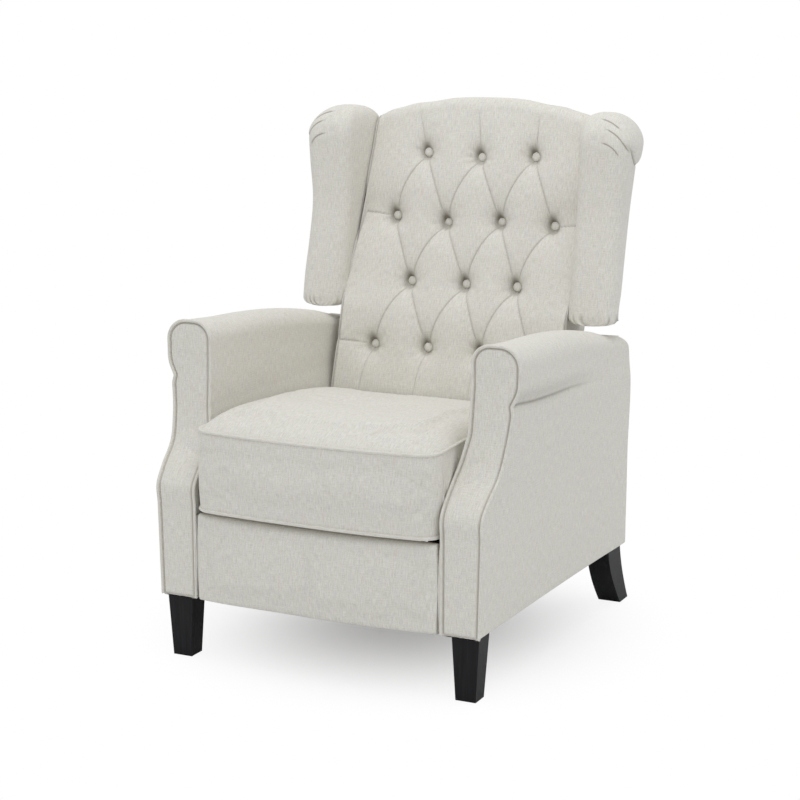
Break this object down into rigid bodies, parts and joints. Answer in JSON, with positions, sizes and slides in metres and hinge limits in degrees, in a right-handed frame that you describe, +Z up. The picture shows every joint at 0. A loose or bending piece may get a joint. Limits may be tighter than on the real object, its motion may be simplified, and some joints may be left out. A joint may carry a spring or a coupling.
{
  "type": "wingback recliner",
  "caption": "Upholstered push-back recliner with a button-tufted wingback, rolled arms, boxed seat cushion, fold-out footrest panel and dark tapered wooden legs.",
  "frame": {"origin": "On the floor under the middle of the whole chair, at the centre of its width and depth.", "axes": "+Z up, the sitter faces -Y, X runs across the chair."},
  "size_m": [0.7112, 0.8318, 1.016],
  "materials": {
    "linen_fabric": "pale greige linen-look weave",
    "dark_stained_wood": "espresso stain under a satin lacquer",
    "nylon_glide": "moulded nylon",
    "webbing": "woven elastic strap",
    "frame_wood": "planed, unfinished",
    "zinc_fastener": "zinc plated",
    "spring_wire": "oil-tempered wire",
    "black_steel": "black powder coat"
  },
  "bodies": {
    "base": {"arm_right": "linen_fabric", "arm_left": "linen_fabric", "arm_facing_right": "linen_fabric", "arm_facing_left": "linen_fabric", "leg_front_right": "dark_stained_wood", "leg_front_left": "dark_stained_wood", "leg_rear_right": "dark_stained_wood", "leg_rear_left": "dark_stained_wood", "leg_bolts": "zinc_fastener", "leg_glides": "nylon_glide", "base_rail_right": "black_steel", "base_rail_left": "black_steel", "rail_cleat_right": "frame_wood", "rail_cleat_left": "frame_wood", "rail_screws": "zinc_fastener", "cross_tube_front": "black_steel", "cross_tube_rear": "black_steel", "front_stretcher": "frame_wood", "rear_panel": "linen_fabric", "swing_pins_base": "zinc_fastener"},
    "front_swing": {"swing_link_front": "black_steel"},
    "rear_swing": {"swing_link_rear": "black_steel"},
    "seat": {"seat_plate_right": "black_steel", "seat_plate_left": "black_steel", "carriage_pins": "zinc_fastener", "seat_side_rail_right": "frame_wood", "seat_side_rail_left": "frame_wood", "seat_front_rail": "frame_wood", "seat_rear_rail": "frame_wood", "seat_springs": "spring_wire", "spring_clips": "spring_wire", "seat_cushion": "linen_fabric"},
    "back": {"back_bracket_right": "black_steel", "back_bracket_left": "black_steel", "back_fasteners": "zinc_fastener", "hinge_pins": "zinc_fastener", "back_post_right": "frame_wood", "back_post_left": "frame_wood", "back_bottom_rail": "frame_wood", "back_middle_rail": "frame_wood", "back_top_rail": "frame_wood", "back_webbing": "webbing", "back_panel": "linen_fabric", "back_pad": "linen_fabric", "back_buttons": "linen_fabric", "wing_right": "linen_fabric", "wing_left": "linen_fabric"},
    "drive_link": {"drive_link": "black_steel", "drive_link_rivets": "zinc_fastener"},
    "slide_link": {"slide_link": "black_steel", "slide_link_rivets": "zinc_fastener"},
    "front_link": {"front_link": "black_steel", "front_link_rivets": "zinc_fastener"},
    "cross_link": {"cross_link": "black_steel", "cross_link_rivets": "zinc_fastener"},
    "short_link": {"short_link": "black_steel"},
    "footrest": {"footrest_bracket": "black_steel", "footrest_board": "frame_wood", "footrest_screws": "zinc_fastener", "footrest_pad": "linen_fabric"}
  },
  "joints": [
    {"name": "front_swing_turn", "type": "hinge", "parent": "base", "child": "front_swing", "pos_m": [0, -0.2, 0.268], "axis": [-1, 0, 0], "range_deg": [0, 45]},
    {"name": "rear_swing_turn", "type": "hinge", "parent": "base", "child": "rear_swing", "pos_m": [0, 0.11, 0.268], "axis": [-1, 0, 0], "range_deg": [0, 45]},
    {"name": "seat_level", "type": "hinge", "parent": "front_swing", "child": "seat", "pos_m": [0, -0.20959, 0.15842], "axis": [-1, 0, 0], "range_deg": [-45, 0]},
    {"name": "back_recline", "type": "hinge", "parent": "seat", "child": "back", "pos_m": [0, 0.225, 0.29], "axis": [-1, 0, 0], "range_deg": [0, 30]},
    {"name": "footrest_open", "type": "hinge", "parent": "seat", "child": "drive_link", "pos_m": [0, -0.29925, 0.284], "axis": [-1, 0, 0], "range_deg": [0, 74]},
    {"name": "slide_link_turn", "type": "hinge", "parent": "drive_link", "child": "slide_link", "pos_m": [0, -0.30969, 0.20973], "axis": [-1, 0, 0], "range_deg": [-148, 0]},
    {"name": "front_link_turn", "type": "hinge", "parent": "slide_link", "child": "front_link", "pos_m": [0, -0.32012, 0.284], "axis": [-1, 0, 0], "range_deg": [0, 148]},
    {"name": "cross_link_turn", "type": "hinge", "parent": "drive_link", "child": "cross_link", "pos_m": [0, -0.32012, 0.13546], "axis": [-1, 0, 0], "range_deg": [-148, 0]},
    {"name": "short_link_turn", "type": "hinge", "parent": "front_link", "child": "short_link", "pos_m": [0, -0.341, 0.13546], "axis": [-1, 0, 0], "range_deg": [-148, 0]},
    {"name": "footrest_turn", "type": "hinge", "parent": "cross_link", "child": "footrest", "pos_m": [0, -0.341, 0.284], "axis": [-1, 0, 0], "range_deg": [0, 148]}
  ],
  "couplings": [
    {"joint": "front_swing_turn", "follows": "back_recline", "ratio": 1.5},
    {"joint": "rear_swing_turn", "follows": "back_recline", "ratio": 1.5},
    {"joint": "seat_level", "follows": "back_recline", "ratio": -1.5},
    {"joint": "slide_link_turn", "follows": "footrest_open", "ratio": -2},
    {"joint": "front_link_turn", "follows": "footrest_open", "ratio": 2},
    {"joint": "cross_link_turn", "follows": "footrest_open", "ratio": -2},
    {"joint": "short_link_turn", "follows": "footrest_open", "ratio": -2},
    {"joint": "footrest_turn", "follows": "footrest_open", "ratio": 2}
  ]
}
